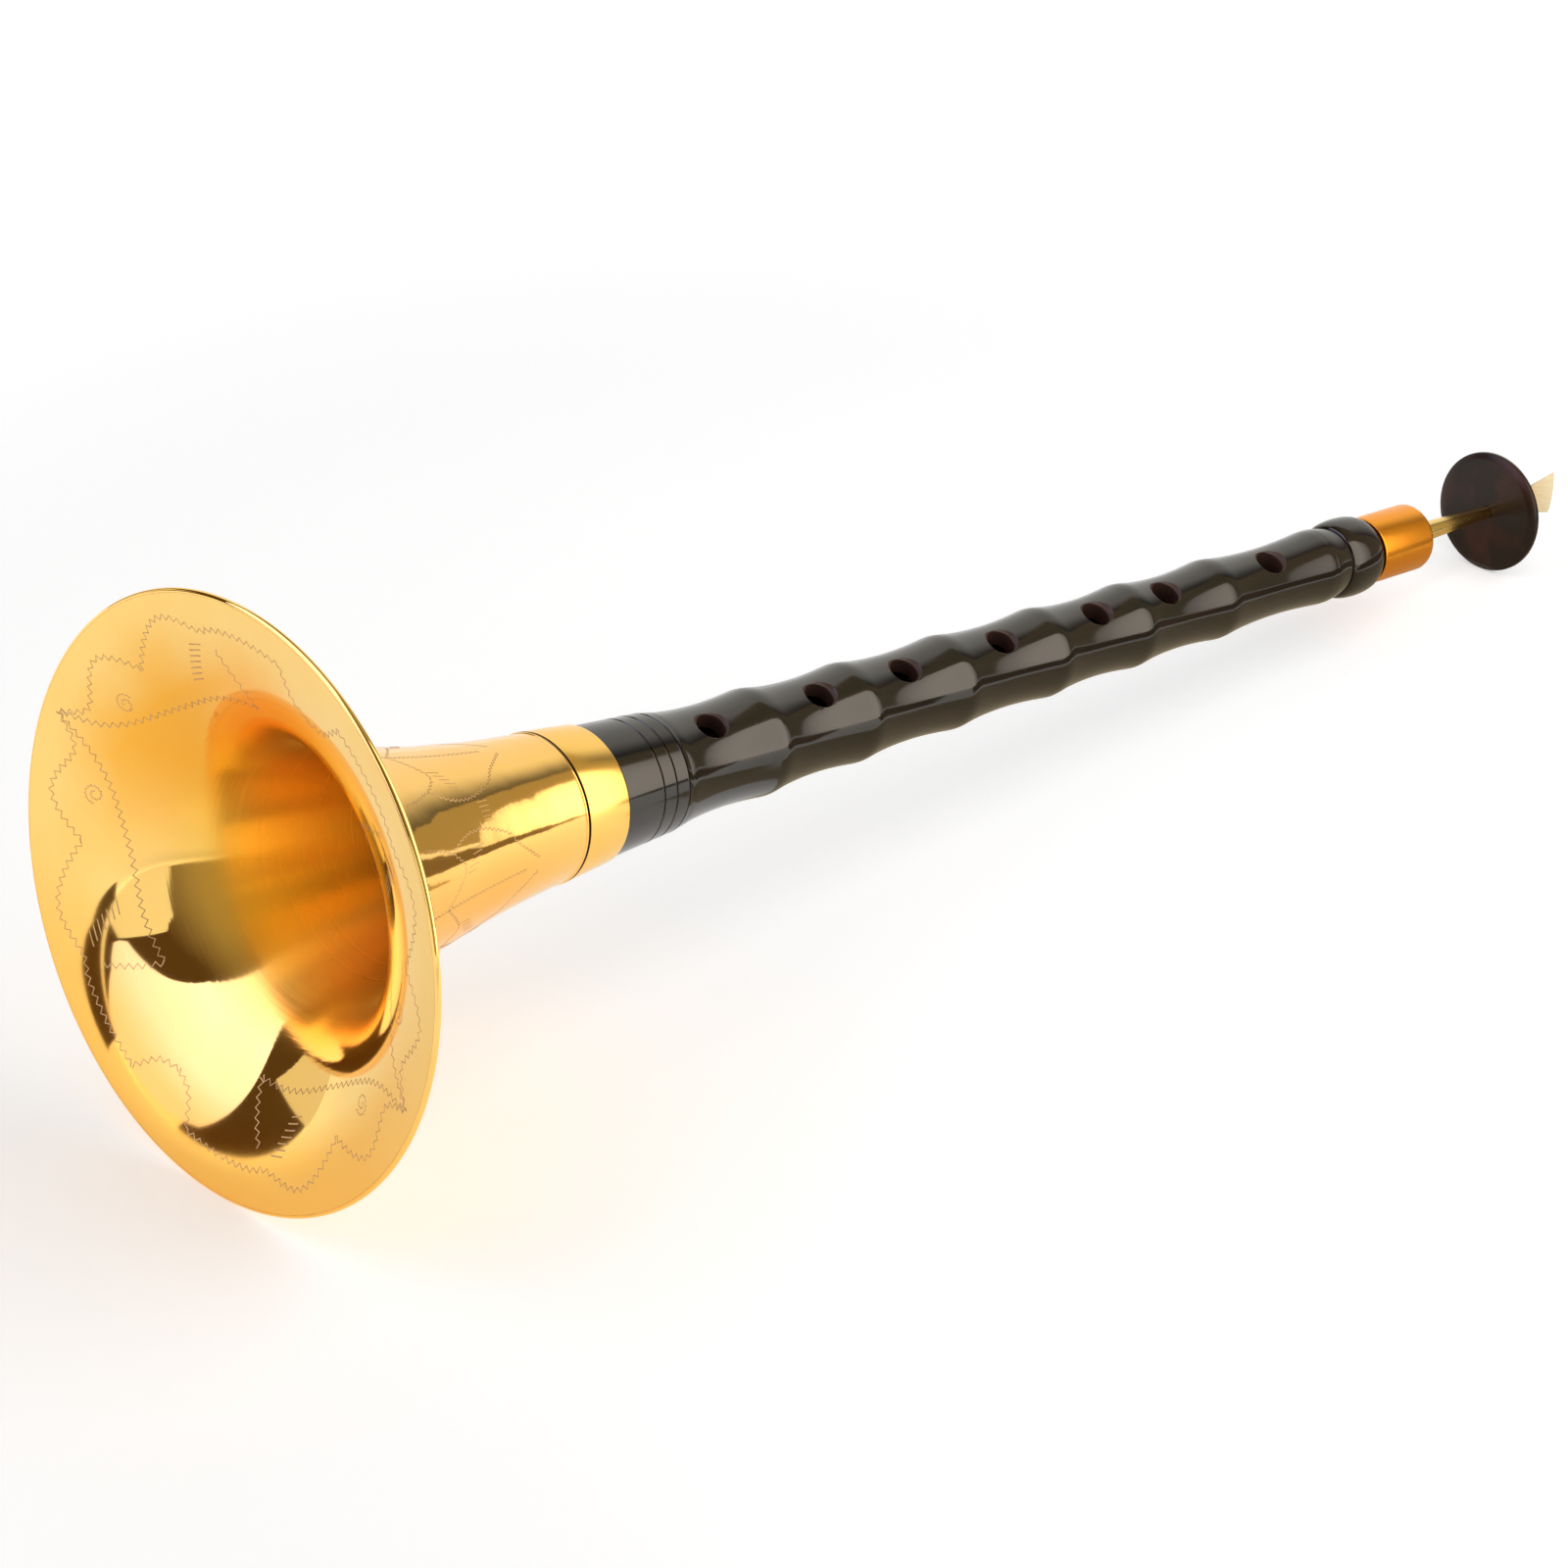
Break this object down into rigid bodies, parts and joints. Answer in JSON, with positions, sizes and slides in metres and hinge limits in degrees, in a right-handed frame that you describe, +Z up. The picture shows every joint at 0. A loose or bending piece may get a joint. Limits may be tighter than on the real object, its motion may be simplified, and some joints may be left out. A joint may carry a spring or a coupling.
{
  "type": "suona",
  "caption": "Conical double-reed pipe with a flared brass bell, scalloped dark wooden body, brass ferrules, staple, lip disc and cane reed, lying on its bell and disc.",
  "frame": {"origin": "centre of the bounding box's underside: the point on the floor below the middle of the lying instrument", "axes": "+Z up; +X from the bell towards the reed, level with the floor, with the instrument's own axis 6.9 degrees lower than +X; the finger holes face up and 26 degrees towards -Y"},
  "size_m": [0.4468, 0.1318, 0.1309],
  "materials": {
    "polished_brass": "polished, with engraved zigzag lines",
    "blackwood": "glossy turned blackwood",
    "ferrule_brass": "polished",
    "satin_brass": "satin, warm orange",
    "waxed_thread": "waxed thread, wound flat",
    "staple_brass": "polished",
    "silk_thread": "thread, wound flat",
    "disc_wood": "polished dark wood",
    "cane": "scraped cane",
    "copper_wire": "bare copper wire"
  },
  "bodies": {
    "pipe": {"pipe_body": "blackwood", "lower_ferrule": "ferrule_brass", "top_ferrule": "satin_brass", "tenon_lapping": "waxed_thread"},
    "bell": {"bell": "polished_brass"},
    "staple": {"staple_tube": "staple_brass", "staple_lapping": "silk_thread"},
    "lip_disc": {"lip_disc": "disc_wood"},
    "reed": {"reed_cane": "cane", "reed_binding": "copper_wire"}
  },
  "joints": [
    {"name": "bell_pull", "type": "slide", "parent": "pipe", "child": "bell", "axis": [-0.9927, 0, 0.1208], "range_m": [0, 0.06]},
    {"name": "staple_pull", "type": "slide", "parent": "pipe", "child": "staple", "axis": [0.9927, 0, -0.1208], "range_m": [0, 0.045]},
    {"name": "disc_turn", "type": "hinge", "parent": "staple", "child": "lip_disc", "pos_m": [0.1959, 0, 0.01551], "axis": [0.9927, 0, -0.1208], "continuous": true},
    {"name": "reed_pull", "type": "slide", "parent": "staple", "child": "reed", "axis": [0.9927, 0, -0.1208], "range_m": [0, 0.025]}
  ]
}
